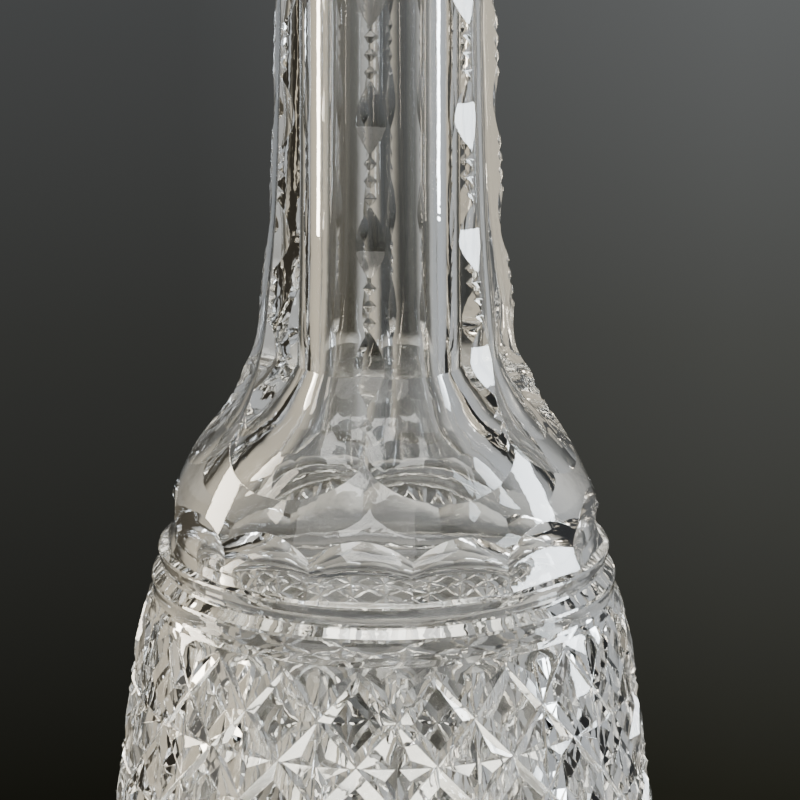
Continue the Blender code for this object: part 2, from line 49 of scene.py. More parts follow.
FOOT_RADIUS = 0.04066
BORE_RADIUS = 0.0117
WALL = 0.0069
FLOOR_THICKNESS = 0.0125
INNER_FILLET = 0.012
INNER_SHOULDER = 0.0322
BELLY_HEIGHT = 0.038
LIP_HEIGHT = 0.0085
LIP_OVERHANG = 0.0032
LIP_ROLL = 0.00306
LIP_REACH = 0.00208
LIP_ROOT_RISE = 0.00102
LIP_ROOT_REACH = 0.000576
RIM_CHAMFER = 0.0008
FOOT_EDGE_RISE = 0.0003
FOOT_EDGE_REACH = 0.0005

# Counts of the cutting pattern. Everything is set out from the seven neck flutes.
FLUTES = 7
ARCHES = 2 * FLUTES
DIAMONDS = 3 * FLUTES
DIAMOND_ROWS = 5
NOTCHES = 3
PATTERN_TURN = math.radians(-5.4)

# Heights of the bands of cutting.
HEEL_HEIGHT = 0.0135
LOWER_ARCH_DROP = 0.0030
LOWER_ARCH_BAND = 0.0104
ROW_HEIGHT = 0.01498
FIELD_MARGIN = 0.0015
ARCH_BAND = 0.0069
ARCH_RISE = 0.0032
SHOULDER_BAND = 0.0149
SCALLOP_DROP = 0.0065
NECK_FOOT = 0.0085
LENS_LENGTH = 0.0120
NOTCH_PITCH = 0.0029
SHOULDER_NOTCHES = 3

# Rings: (height above the field, depth under the turned body), and the same below the field.
UPPER_RINGS = (
    (0.00952, -0.0001),
    (0.00766, 0.0006),
    (0.00612, 0.0016),
    (0.00435, -0.00025),
    (0.00226, 0.0005),
    (0.00106, 0.0007),
)
LOWER_RINGS = ((0.00156, -0.0004), (0.00374, -0.0006))
RING_LEDGE = 0.0003
LEDGE_STEP = 0.0009
RING_BEVEL = 0.0003

# Depths of the wheel cuts.
LENS_DEPTH = 0.00145
NOTCH_DEPTH = 0.0006
RIDGE_FLAT = 0.00025
FLUTE_SAG = 0.00035
THUMB_DEPTH = 0.0010
DIAGONAL_DEPTH = 0.00148
VERTICAL_RISE = 0.0002
LEVEL_RISE = 0.00025
CUT_SLOPE = 0.64
TABLE_EDGE = 0.39
FOOT_RING_WIDTH = 0.0062
STAR_DEPTH = 0.0022
BASE_RECESS = 0.0014

# Star under the base: radii as shares of the recess, and the share of its depth between rays.
STAR_TIP = 0.90
STAR_VALLEY = 0.42
STAR_VALLEY_RISE = 0.30

# Where the diamond field's cuts run out at its edge, as shares of a cut's depth and of the margin.
RUN_OUT_DEPTH = 0.55
RUN_OUT_DIAGONAL = 0.6
RUN_OUT_GROOVE = 0.8
GROOVE_BREAK = 0.1
SLOPE_RADIUS = 0.9 * BODY_RADIUS

# Notches and lenses: shares of a notch's pitch, of the shoulder's height and of a lens's length.
NOTCH_SHARE = 0.34
NOTCH_FLAT = 0.02
SHOULDER_NOTCH_START = 0.20
SHOULDER_NOTCH_PITCH = 0.265
SHOULDER_NOTCH_SHARE = 0.38
LENS_VALLEY = 0.58
LENS_STATIONS = (0.0, 0.04, 0.10, 0.18, 0.28, 0.38, 0.48, 0.58, 0.65, 0.72, 0.79, 0.86, 0.92, 0.97)
LENS_HOLLOW_POWER = 0.8
LENS_BEVEL_POWER = 1.5

# The inside opens over its own height, this share of it above the apex. Powers shape the curves.
INNER_RISE = 0.30
INNER_EASE = 1.7
FLUTE_EASE = 1.3

# Stopper sizes and fits. The ground taper is radius per length.
SOCKET_LENGTH = 0.022
GROUND_TAPER = 0.05
STOPPER_GAP = 0.0003
HEAD_RADIUS = 0.0215
STALK_RADIUS = 0.0090
STALK_HEIGHT = 0.0032
FLANGE_OVERLAP = 0.0032
FLANGE_THICKNESS = 0.0028
FLANGE_ROUND = 0.00112
FLANGE_RELIEF = 0.00056
STALK_FLARE = 0.00096
STALK_INSET = 0.00112
PLUG_SHOULDER = 0.0010
PLUG_CHAMFER = 0.0008
PLUG_EDGE = 0.0003
PLUG_EDGE_DROP = 0.0005
HEAD_FOOT_REACH = 1.16
HEAD_TOP_ANGLE = math.radians(24.0)
HEAD_ROW_ANGLE = math.radians(10.5)

# Turned outline: (share of a height, share of a radius), over the heel, the body and the neck.
HEEL_CURVE = (
    (0.0333, 0.0954),
    (0.1030, 0.1824),
    (0.2121, 0.3694),
    (0.3152, 0.5478),
    (0.4242, 0.7044),
    (0.5273, 0.8174),
    (0.6303, 0.9001),
    (0.7394, 0.9696),
    (0.8970, 1.0),
)
BODY_CURVE = (
    (0.3061, 1.0),
    (0.3630, 0.9806),
    (0.4182, 0.9548),
    (0.4851, 0.9177),
    (0.5671, 0.8694),
    (0.6290, 0.8306),
    (0.6892, 0.7968),
    (0.7193, 0.7694),
    (0.7511, 0.7322),
    (0.7712, 0.7048),
    (0.8423, 0.6371),
    (0.8732, 0.6097),
    (0.9033, 0.5613),
    (0.9334, 0.5032),
    (0.9644, 0.4371),
)
# The neck's curve is set by height above the apex, so a longer neck stays slim.
NECK_CURVE = (
    (0.0, 0.3452),
    (0.0035, 0.2726),
    (0.0076, 0.2177),
    (0.0109, 0.1774),
    (0.0166, 0.1323),
    (0.0244, 0.1000),
    (0.0329, 0.0661),
    (0.0456, 0.0371),
    (0.0624, 0.0145),
    (0.0704, 0.0048),
    (0.0840, 0.0),
)

# Levels that follow from the sizes above.
LOWER_LEDGE = HEEL_HEIGHT + LOWER_ARCH_BAND
FIELD_FOOT = LOWER_LEDGE + RING_LEDGE + LOWER_RINGS[-1][0]
BOTTOM_APEX = FIELD_FOOT + FIELD_MARGIN
TOP_APEX = BOTTOM_APEX + DIAMOND_ROWS * ROW_HEIGHT
FIELD_TOP = TOP_APEX + FIELD_MARGIN
BAND_LEDGE = FIELD_TOP + UPPER_RINGS[0][0] + RING_LEDGE
ARCH_CUSP = BAND_LEDGE + ARCH_BAND
APEX_LEVEL = ARCH_CUSP + SHOULDER_BAND
LENS_FOOT = APEX_LEVEL + NECK_FOOT
FLUTE_TOP = BOTTLE_HEIGHT - LIP_HEIGHT
SOCKET_FOOT = BOTTLE_HEIGHT - SOCKET_LENGTH
SOCKET_RADIUS = BORE_RADIUS + GROUND_TAPER * SOCKET_LENGTH
FLANGE_RADIUS = SOCKET_RADIUS + FLANGE_OVERLAP

# Mesh steps that carry no size.
SHOULDER_STEPS = 9
SHOULDER_LEVELS = (0.25, 0.5, 0.75)
SHOULDER_PLAIN = (0.08, 0.16)
ARCH_STEPS = 6
HEEL_STEPS = (0.85, 0.70, 0.55, 0.41, 0.28, 0.17, 0.08)
CAVITY_COLUMNS = 140
LOWER_COLUMNS = 140
STOPPER_COLUMNS = 84
FILLET_STEP = 8
CAVITY_STEPS = 70
BORE_STEPS = 8
LIP_STEPS = 10
ROUND_STEPS = 5
RELIEF_STEPS = 4
HALF_FLUTE = math.pi / FLUTES
HALF_ARCH = math.pi / ARCHES


def smooth(points, x):
    """Cubic curve through (x, y) points listed with x rising, straight beyond its ends."""
    slopes = []
    for i in range(len(points)):
        low = points[max(i - 1, 0)]
        high = points[min(i + 1, len(points) - 1)]
        slopes.append((high[1] - low[1]) / (high[0] - low[0]))
    if x <= points[0][0]:
        return points[0][1] + slopes[0] * (x - points[0][0])
    if x >= points[-1][0]:
        return points[-1][1]
    i = max(k for k in range(len(points) - 1) if points[k][0] <= x)
    span = points[i + 1][0] - points[i][0]
    t = (x - points[i][0]) / span
    start = (1 + 2 * t) * (1 - t) ** 2 * points[i][1] + t * (1 - t) ** 2 * span * slopes[i]
    end = t * t * (3 - 2 * t) * points[i + 1][1] + t * t * (t - 1) * span * slopes[i + 1]
    return start + end


def outline_points():
    """(height, radius) points of the turned outline, from the foot to the top of the flutes."""
    heel = BODY_RADIUS - FOOT_RADIUS
    body = BODY_RADIUS - NECK_RADIUS
    points = [(x * BELLY_HEIGHT, FOOT_RADIUS + y * heel) for x, y in HEEL_CURVE]
    points += [(x * APEX_LEVEL, NECK_RADIUS + y * body) for x, y in BODY_CURVE]
    points += [(APEX_LEVEL + x, NECK_RADIUS + y * body) for x, y in NECK_CURVE]
    return points


OUTLINE = outline_points()


def blank(z):
    """Radius of the turned outline, and on the neck of the ridges between flutes."""
    return smooth(OUTLINE, z)


def panel(z):
    """Distance of a flat flute floor from the axis, down to where it runs out at the scallops."""
    fall = max(APEX_LEVEL - z, 0.0) / SCALLOP_DROP
    narrow = math.cos(HALF_FLUTE)
    return blank(z) * (narrow + (1 - narrow) * fall**FLUTE_EASE)


def cavity(z):
    """Inner radius: the bore, opening at the shoulder into the body inside its wall."""
    opening = (APEX_LEVEL + INNER_SHOULDER * INNER_RISE - z) / INNER_SHOULDER
    opening = min(max(opening, 0.0), 1.0)
    full = blank(z) - WALL
    return BORE_RADIUS + (full - BORE_RADIUS) * (1 - (1 - opening) ** INNER_EASE)


class Shell:
    """Points and faces of one mesh, built ring by ring from the top outside to the top inside."""

    def __init__(self):
        self.points = []
        self.faces = []

    def point(self, r, azimuth, z):
        self.points.append((r * math.sin(azimuth), -r * math.cos(azimuth), z))
        return len(self.points) - 1

    def ring(self, spots):
        """A closed ring from (radius, azimuth, height) spots in rising azimuth."""
        return [(spot[1], self.point(*spot)) for spot in spots]

    def circle(self, r, z, columns):
        turn = 2 * math.pi / columns
        return self.ring([(r, PATTERN_TURN + turn * k, z) for k in range(columns)])

    def bridge(self, upper, lower):
        """Faces between two rings, matching their azimuths where the counts differ."""
        if len(upper) == len(lower) and abs(upper[0][0] - lower[0][0]) < 1e-6:
            self.bridge_even(upper, lower)
            return
        up = upper + [(upper[0][0] + 2 * math.pi, upper[0][1])]
        low = lower + [(lower[0][0] + 2 * math.pi, lower[0][1])]
        i = 0
        j = 0
        while i < len(upper) or j < len(lower):
            up_next = up[i + 1][0] if i < len(upper) else math.inf
            low_next = low[j + 1][0] if j < len(lower) else math.inf
            if up_next <= low_next + 1e-9:
                self.faces.append((up[i][1], low[j][1], up[i + 1][1]))
                i += 1
            else:
                self.faces.append((up[i][1], low[j][1], low[j + 1][1]))
                j += 1

    def bridge_even(self, upper, lower):
        count = len(upper)
        for k in range(count):
            n = (k + 1) % count
            self.faces.append((upper[k][1], lower[k][1], lower[n][1], upper[n][1]))

    def chain(self, rings):
        for upper, lower in zip(rings, rings[1:]):
            self.bridge(upper, lower)

    def cap(self, around, z):
        """Closes a ring with a fan about the axis that faces down."""
        centre = self.point(0.0, 0.0, z)
        for k in range(len(around)):
            n = (k + 1) % len(around)
            self.faces.append((around[k][1], centre, around[n][1]))

    def close_up(self, around, z):
        """Closes a ring with a fan about the axis that faces up."""
        centre = self.point(0.0, 0.0, z)
        for k in range(len(around)):
            n = (k + 1) % len(around)
            self.faces.append((around[k][1], around[n][1], centre))

    def mesh(self, name):
        data = bpy.data.meshes.new(name)
        data.from_pydata(self.points, [], self.faces)
        data.update()
        obj = bpy.data.objects.new(name, data)
        bpy.context.scene.collection.objects.link(obj)
        return obj


# Neck: hollow flutes, and the notches and lenses cut across the ridges between them.


def lens_depth(s):
    """Depth of a lens at a share of its length: a long hollow above, a rounded bevel below."""
    if s < LENS_VALLEY:
        return LENS_DEPTH * math.sin(0.5 * math.pi * s / LENS_VALLEY) ** LENS_HOLLOW_POWER
    return LENS_DEPTH * (1 - ((s - LENS_VALLEY) / (1 - LENS_VALLEY)) ** LENS_BEVEL_POWER)


def ridge_cuts():
    """(height, depth) stations down one ridge, from the flute tops to the foot of the last lens."""
    stations = [(FLUTE_TOP, 0.0)]
    period = LENS_LENGTH + NOTCHES * NOTCH_PITCH
    count = int((FLUTE_TOP - LENS_FOOT - NOTCH_PITCH / 2) / period)
    for index in range(count):
        top = LENS_FOOT + (count - index) * period
        for k in range(NOTCHES):
            middle = top - (k + 0.5) * NOTCH_PITCH
            stations.append((middle + NOTCH_SHARE * NOTCH_PITCH, 0.0))
            stations.append((middle + NOTCH_FLAT * NOTCH_PITCH, NOTCH_DEPTH))
            stations.append((middle - NOTCH_FLAT * NOTCH_PITCH, NOTCH_DEPTH))
            stations.append((middle - NOTCH_SHARE * NOTCH_PITCH, 0.0))
        top -= NOTCHES * NOTCH_PITCH
        stations += [(top - s * LENS_LENGTH, lens_depth(s)) for s in LENS_STATIONS]
    stations.append((LENS_FOOT, 0.0))
    return stations


def flute_radius(near, floor):
    """Radius on a hollow flute, this angle from its ridge."""
    share = (HALF_FLUTE - near) / HALF_FLUTE
    return floor / math.cos(HALF_FLUTE - near) - FLUTE_SAG * (1 - share**2)


def cut_radius(near, floor, depth):
    return (floor / math.cos(HALF_FLUTE) - depth) / math.cos(near)


def cut_width(floor, depth):
    """Half angle of a tangent cut of this depth across a ridge."""
    low = RIDGE_FLAT / floor
    if depth <= 0.0:
        return low
    high = HALF_FLUTE
    for _ in range(40):
        middle = (low + high) / 2
        if cut_radius(middle, floor, depth) < flute_radius(middle, floor):
            low = middle
        else:
            high = middle
    return low


def flute_offsets(width):
    """Azimuths of one flute's columns, from its ridge to the next."""
    rise = [width + (HALF_FLUTE - width) * k / SHOULDER_STEPS for k in range(SHOULDER_STEPS)]
    rise = [width / 2] + rise
    fall = [2 * HALF_FLUTE - value for value in reversed(rise)]
    return [0.0] + rise + [HALF_FLUTE] + fall


def neck_ring(shell, z, depth):
    floor = panel(z)
    width = cut_width(floor, depth)
    spots = []
    for flute in range(FLUTES):
        start = PATTERN_TURN + 2 * HALF_FLUTE * flute
        for offset in flute_offsets(width):
            near = min(offset, 2 * HALF_FLUTE - offset)
            r = flute_radius(near, floor)
            if depth > 0.0 and near <= width + 1e-9:
                r = min(r, cut_radius(near, floor, depth))
            spots.append((r, start + offset, z))
    return shell.ring(spots)


def neck_rings(shell):
    return [neck_ring(shell, z, depth) for z, depth in ridge_cuts()]


# Shoulder: the flutes run out in scallops that meet at an apex under every ridge.


def scallop(near):
    """Height where a flute floor runs out through the blank, at this angle from the ridge."""
    low = APEX_LEVEL - SCALLOP_DROP
    high = APEX_LEVEL
    for _ in range(50):
        middle = (low + high) / 2
        if blank(middle) * math.cos(HALF_FLUTE - near) > panel(middle):
            high = middle
        else:
            low = middle
    return (low + high) / 2


def shoulder_stations():
    """(share of the way from the last lens to the apex, notch depth)."""
    stations = [(share, 0.0) for share in SHOULDER_PLAIN]
    for k in range(SHOULDER_NOTCHES):
        middle = SHOULDER_NOTCH_START + SHOULDER_NOTCH_PITCH * (k + 0.5)
        side = SHOULDER_NOTCH_SHARE * SHOULDER_NOTCH_PITCH
        flat = NOTCH_FLAT * SHOULDER_NOTCH_PITCH
        stations.append((middle - side, 0.0))
        stations.append((middle - flat, NOTCH_DEPTH))
        stations.append((middle + flat, NOTCH_DEPTH))
        stations.append((middle + side, 0.0))
    return stations + [(1.0, 0.0)]


def shoulder_ring(shell, share, depth):
    ridge_z = LENS_FOOT - share * (LENS_FOOT - APEX_LEVEL)
    even = HALF_FLUTE / (SHOULDER_STEPS + 1)
    width = cut_width(panel(ridge_z), depth)
    width += (even - width) * share**3
    spots = []
    for flute in range(FLUTES):
        start = PATTERN_TURN + 2 * HALF_FLUTE * flute
        for offset in flute_offsets(width):
            near = min(offset, 2 * HALF_FLUTE - offset)
            z = LENS_FOOT - share * (LENS_FOOT - scallop(near))
            floor = panel(z)
            flat = floor / math.cos(HALF_FLUTE - near)
            r = flat + (flute_radius(near, floor) - flat) * (1 - share)
            if depth > 0.0:
                r = min(r, cut_radius(near, floor, depth))
            spots.append((r, start + offset, z))
    return shell.ring(spots)


# Arches: a row of shallow thumbprints, two to each flute.


def arch_share(azimuth):
    """0 at the middle of an arch and 1 at its cusps, with the angle from that middle."""
    near = (azimuth - PATTERN_TURN) % (2 * HALF_ARCH)
    near = min(near, 2 * HALF_ARCH - near)
    return near / HALF_ARCH, near


def arch_band(shell, azimuths, cusp, rise, ledge, ledge_radius):
    """Rings of an arch row, from its curved edge to its end on a ring's ledge."""
    rows = [[] for _ in range(ARCH_STEPS + 1)]
    for azimuth in azimuths:
        share, near = arch_share(azimuth)
        z = cusp + rise * (1 - share**2)
        floor = blank(z) * math.cos(near)
        for k in range(ARCH_STEPS + 1):
            t = k / ARCH_STEPS
            depth = 4 * t * (1 - t) * THUMB_DEPTH
            across = ((1 - t) * floor + t * ledge_radius - depth) / math.cos(near)
            rows[k].append((across, azimuth, z + t * (ledge - z)))
    return [shell.ring(row) for row in rows]


def plain_ring(shell, azimuths, z):
    return shell.ring([(blank(z), azimuth, z) for azimuth in azimuths])


def ledge_beside(z, proud):
    """Radius at an arch's middle of the ledge where a row of arches meets a ring."""
    return (blank(z) + proud - LEDGE_STEP) * math.cos(HALF_ARCH)


def rounded(corners):
    """A (height, radius) profile with each corner turned into a short bevel."""
    out = []
    for before, here, after in zip(corners, corners[1:], corners[2:]):
        for other in (before, after):
            length = math.hypot(other[0] - here[0], other[1] - here[1])
            t = min(RING_BEVEL / length, 0.45)
            out.append((here[0] + t * (other[0] - here[0]), here[1] + t * (other[1] - here[1])))
    return out


def profile_rings(shell, azimuths, corners):
    return [shell.ring([(r, azimuth, z) for azimuth in azimuths]) for z, r in rounded(corners)]


def upper_body_rings(shell, scallop_ring):
    azimuths = [azimuth for azimuth, _ in scallop_ring]
    rings = [scallop_ring]
    heights = [shell.points[index][2] for _, index in scallop_ring]
    for step in SHOULDER_LEVELS:
        row = []
        for azimuth, z in zip(azimuths, heights):
            below = ARCH_CUSP + ARCH_RISE * (1 - arch_share(azimuth)[0] ** 2)
            here = z + step * (below - z)
            row.append((blank(here), azimuth, here))
        rings.append(shell.ring(row))
    ledge_radius = ledge_beside(BAND_LEDGE, -UPPER_RINGS[0][1])
    rings += arch_band(shell, azimuths, ARCH_CUSP, ARCH_RISE, BAND_LEDGE, ledge_radius)
    corners = [(BAND_LEDGE, ledge_radius)]
    for height, depth in UPPER_RINGS:
        corners.append((FIELD_TOP + height, blank(FIELD_TOP + height) - depth))
    corners.append((FIELD_TOP, blank(FIELD_TOP)))
    return rings + profile_rings(shell, azimuths, corners)


def lower_body_rings(shell, columns):
    azimuths = [PATTERN_TURN + 2 * math.pi * k / columns for k in range(columns)]
    ledge_radius = ledge_beside(LOWER_LEDGE, -LOWER_RINGS[-1][1])
    corners = [(FIELD_FOOT, blank(FIELD_FOOT))]
    for height, depth in LOWER_RINGS:
        corners.append((FIELD_FOOT - height, blank(FIELD_FOOT - height) - depth))
    corners.append((LOWER_LEDGE, ledge_radius))
    rings = profile_rings(shell, azimuths, corners)
    drop = -LOWER_ARCH_DROP
    band = arch_band(shell, azimuths, HEEL_HEIGHT, drop, LOWER_LEDGE, ledge_radius)
    rings += band[::-1]
    plain = HEEL_HEIGHT - LOWER_ARCH_DROP
    for share in HEEL_STEPS:
        rings.append(plain_ring(shell, azimuths, share * plain))
    for height, beyond in ((FOOT_EDGE_RISE, FOOT_EDGE_REACH), (0.0, 0.0)):
        rings.append(shell.ring([(FOOT_RADIUS + beyond, azimuth, height) for azimuth in azimuths]))
    return rings


# Diamond field: diagonal mitre cuts, vertical cuts at every A node, level cuts at every B node.


def cell_heights():
    """Rises per cell of the three cuts' faces, on the cross-cut side of a diagonal."""
    wide = math.pi * SLOPE_RADIUS / DIAMONDS
    tall = half_row()
    across = wide * tall / math.hypot(wide, tall)
    return CUT_SLOPE * across, CUT_SLOPE * wide, CUT_SLOPE * tall


def cut_depths():
    """Depths of the diagonal, vertical and level cuts, each shallower than the one before."""
    upright = DIAGONAL_DEPTH - VERTICAL_RISE
    return DIAGONAL_DEPTH, upright, upright - LEVEL_RISE


def half_row():
    return ROW_HEIGHT / 2


def cell_polygons():
    """Facets of one quarter cell, as (x, y, height), from A at (0, 0) to B at (1, 1)."""
    run_d, run_v, run_h = cell_heights()
    deep, upright, flat = cut_depths()
    # The tip is where the three cut faces meet: the same height on each.
    total = 1 + run_d / run_h + run_d / run_v
    tip_h = (run_d * (1 - flat / run_h - upright / run_v) - deep) / total
    tip = ((tip_h + upright) / run_v, 1 - (tip_h + flat) / run_h, min(tip_h, 0.0))
    node_a = (0.0, 0.0, -deep)
    node_b = (1.0, 1.0, -deep)
    node_c = (0.0, 1.0, -upright)
    on_vertical = (0.0, (deep - upright) / run_d, -upright)
    on_level = (1.0 - (deep - flat) / run_d, 1.0, -flat)
    meet = ((upright - flat) / run_v, 1.0, -flat)
    table_a = (TABLE_EDGE, 0.0, 0.0)
    table_b = (1.0, 1.0 - TABLE_EDGE, 0.0)
    table = (1.0, 0.0, 0.0)
    return [
        [table, table_b, table_a],
        [node_a, table_a, table_b, node_b],
        [node_a, node_b, on_level, tip, on_vertical],
        [on_vertical, tip, meet, node_c],
        [meet, tip, on_level],
    ]


def edge_polygons(stretch):
    """Facets of the quarter cell at the field's edge, where the cuts run out into plain glass."""
    run_d, run_v, _ = cell_heights()
    deep, upright, _ = cut_depths()
    shallow = RUN_OUT_DEPTH * deep
    node_a = (0.0, 0.0, -deep)
    node_b = (1.0, 1.0, -shallow)
    on_vertical = (0.0, (deep - upright) / run_d, -upright)
    side = upright / run_v
    corner = (side, side + deep / run_d, 0.0)
    over_b = (1.0, 1.0 + RUN_OUT_DIAGONAL * stretch, 0.0)
    groove_top = (0.0, 1.0 - GROOVE_BREAK * stretch, -upright)
    groove_end = (0.0, 1.0 + RUN_OUT_GROOVE * stretch, 0.0)
    groove_side = (side, 1.0, 0.0)
    table_a = (TABLE_EDGE, 0.0, 0.0)
    table_b = (1.0, 1.0 - TABLE_EDGE * RUN_OUT_DEPTH, 0.0)
    rim_a = (0.0, 1.0 + stretch, 0.0)
    rim_b = (1.0, 1.0 + stretch, 0.0)
    return [
        [(1.0, 0.0, 0.0), table_b, table_a],
        [node_a, table_a, table_b, node_b],
        [node_a, node_b, over_b, corner, on_vertical],
        [on_vertical, corner, groove_side, groove_top],
        [groove_top, groove_side, groove_end],
        [corner, over_b, rim_b, groove_side],
        [groove_side, rim_b, rim_a, groove_end],
    ]


class Field:
    """The band of diamonds, welded on its own grid of half columns."""

    def __init__(self, shell):
        self.shell = shell
        self.seen = {}

    def spot(self, column, z, height):
        key = (round(column * 1e5) % round(2 * DIAMONDS * 1e5), round(z * 1e8))
        if key not in self.seen:
            step = 1e-4
            lean = (blank(z + step) - blank(z - step)) / (2 * step)
            scale = 1 / math.hypot(1.0, lean)
            azimuth = PATTERN_TURN + math.pi * (column + 1) / DIAMONDS
            r = blank(z) + height * scale
            self.seen[key] = (azimuth, self.shell.point(r, azimuth, z - height * lean * scale))
        return self.seen[key][1]

    def quarter(self, polygons, column, side, z, up):
        """Lays one quarter cell from its A node, mirrored to the left by side and down by up."""
        for polygon in polygons:
            face = [
                self.spot(column + side * x, z + up * y * half_row(), height)
                for x, y, height in polygon
            ]
            if side * up < 0:
                face.reverse()
            self.shell.faces.append(tuple(face))

    def rim(self, z):
        """The ring of points along one level edge of the field."""
        found = [value for key, value in self.seen.items() if key[1] == round(z * 1e8)]
        low = PATTERN_TURN - 1e-6
        wrapped = [((a - low) % (2 * math.pi) + low, index) for a, index in found]
        return sorted(wrapped)

    def lay(self):
        inner = cell_polygons()
        top_stretch = FIELD_MARGIN / half_row()
        outer = edge_polygons(top_stretch)
        for row in range(DIAMOND_ROWS):
            z = TOP_APEX - half_row() * (2 * row + 1)
            above = outer if row == 0 else inner
            below = outer if row == DIAMOND_ROWS - 1 else inner
            for column in range(DIAMONDS):
                for side in (-1, 1):
                    self.quarter(above, 2 * column, side, z, 1)
                    self.quarter(below, 2 * column, side, z, -1)
        top = TOP_APEX + top_stretch * half_row()
        bottom = BOTTOM_APEX - top_stretch * half_row()
        return self.rim(top), self.rim(bottom)


# Underside and inside.


def star_base(shell, foot):
    """Recess and star cut inside the flat foot ring."""
    inner_radius = FOOT_RADIUS - FOOT_RING_WIDTH
    flat_edge = shell.circle(inner_radius, 0.0, len(foot))
    shell.bridge(foot, flat_edge)
    rays = 2 * ARCHES
    recess = shell.circle(inner_radius - BASE_RECESS, BASE_RECESS, rays)
    shell.bridge(flat_edge, recess)
    spots = []
    for k in range(rays):
        r = inner_radius * (STAR_VALLEY if k % 2 else STAR_TIP)
        rise = BASE_RECESS + (STAR_DEPTH * STAR_VALLEY_RISE if k % 2 else 0.0)
        spots.append((r, PATTERN_TURN + 2 * math.pi * k / rays, rise))
    star = shell.ring(spots)
    shell.bridge(recess, star)
    shell.cap(star, BASE_RECESS + STAR_DEPTH)


def lip_rings(shell):
    """Lip from the mouth's inner edge outward and down to the top of the flutes."""
    widest = NECK_RADIUS + LIP_OVERHANG
    rings = [shell.circle(SOCKET_RADIUS + RIM_CHAMFER, BOTTLE_HEIGHT, CAVITY_COLUMNS)]
    for step in range(LIP_STEPS + 1):
        turn = math.pi * (step / LIP_STEPS - 0.5)
        r = widest - LIP_REACH * (1 - math.cos(turn))
        z = BOTTLE_HEIGHT - LIP_ROLL * (1 + math.sin(turn))
        rings.append(shell.circle(r, z, CAVITY_COLUMNS))
    root = NECK_RADIUS + LIP_ROOT_REACH
    rings.append(shell.circle(root, FLUTE_TOP + LIP_ROOT_RISE, CAVITY_COLUMNS))
    return rings


def inside_rings(shell):
    """The cavity, the bore and the socket, from the floor up to the mouth."""
    start = FLOOR_THICKNESS + INNER_FILLET
    spots = []
    for angle in range(FILLET_STEP, 90, FILLET_STEP):
        turn = math.radians(angle)
        r = cavity(start) - INNER_FILLET * (1 - math.sin(turn))
        spots.append((r, start - INNER_FILLET * math.cos(turn)))
    opened = APEX_LEVEL + INNER_RISE * INNER_SHOULDER
    for k in range(CAVITY_STEPS + 1):
        z = start + (opened - start) * k / CAVITY_STEPS
        spots.append((cavity(z), z))
    for k in range(1, BORE_STEPS + 1):
        spots.append((BORE_RADIUS, opened + (SOCKET_FOOT - opened) * k / BORE_STEPS))
    spots.append((SOCKET_RADIUS, BOTTLE_HEIGHT - RIM_CHAMFER))
    return [shell.circle(r, z, CAVITY_COLUMNS) for r, z in spots]


def build_bottle():
    shell = Shell()
    lip = lip_rings(shell)
    neck = neck_rings(shell)
    shoulder = [shoulder_ring(shell, *station) for station in shoulder_stations()]
    upper = upper_body_rings(shell, shoulder[-1])
    field_top, field_bottom = Field(shell).lay()
    lower = lower_body_rings(shell, LOWER_COLUMNS)
    shell.chain(lip + neck + shoulder)
    shell.chain(upper + [field_top])
    shell.chain([field_bottom] + lower)
    star_base(shell, lower[-1])
    inside = inside_rings(shell)
    shell.close_up(inside[0], FLOOR_THICKNESS)
    shell.chain(inside + lip[:1])
    return shell.mesh("bottle_glass")


# Stopper: lapidary head over a flange and a ground plug.


def head_angles():
    """Polar angles of the head's facet corners. Each kite's four corners lie in one plane."""
    angles = [HEAD_TOP_ANGLE, HEAD_TOP_ANGLE + HEAD_ROW_ANGLE]
    squeeze = math.cos(math.pi / ARCHES)
    while math.sin(angles[-1]) * HEAD_RADIUS > HEAD_FOOT_REACH * STALK_RADIUS or angles[-1] < math.pi / 2:
        above, here = angles[-2], angles[-1]
        low, high = here + 1e-4, here + 1.2
        for _ in range(60):
            below = (low + high) / 2
            rise = math.cos(above) - math.cos(below)
            share = (math.cos(above) - math.cos(here)) / rise
            chord = math.sin(above) + share * (math.sin(below) - math.sin(above))
            if chord > math.sin(here) * squeeze:
                low = below
            else:
                high = below
        angles.append(below)
    return angles[:-1]


def round_off(r, z, radius, start, turn, steps):
    """(radius, height) points along an arc about (r, z). Its start and turn are in degrees."""
    bends = [math.radians(start + turn * k / steps) for k in range(steps + 1)]
    return [(r + radius * math.cos(bend), z + radius * math.sin(bend)) for bend in bends]


def head_rings(shell, angles, centre):
    turn = 2 * math.pi / ARCHES
    rings = []
    for row, angle in enumerate(angles):
        r = HEAD_RADIUS * math.sin(angle)
        z = centre + HEAD_RADIUS * math.cos(angle)
        start = PATTERN_TURN + (row % 2) * turn / 2
        rings.append(shell.ring([(r, start + turn * k, z) for k in range(ARCHES)]))
    return rings


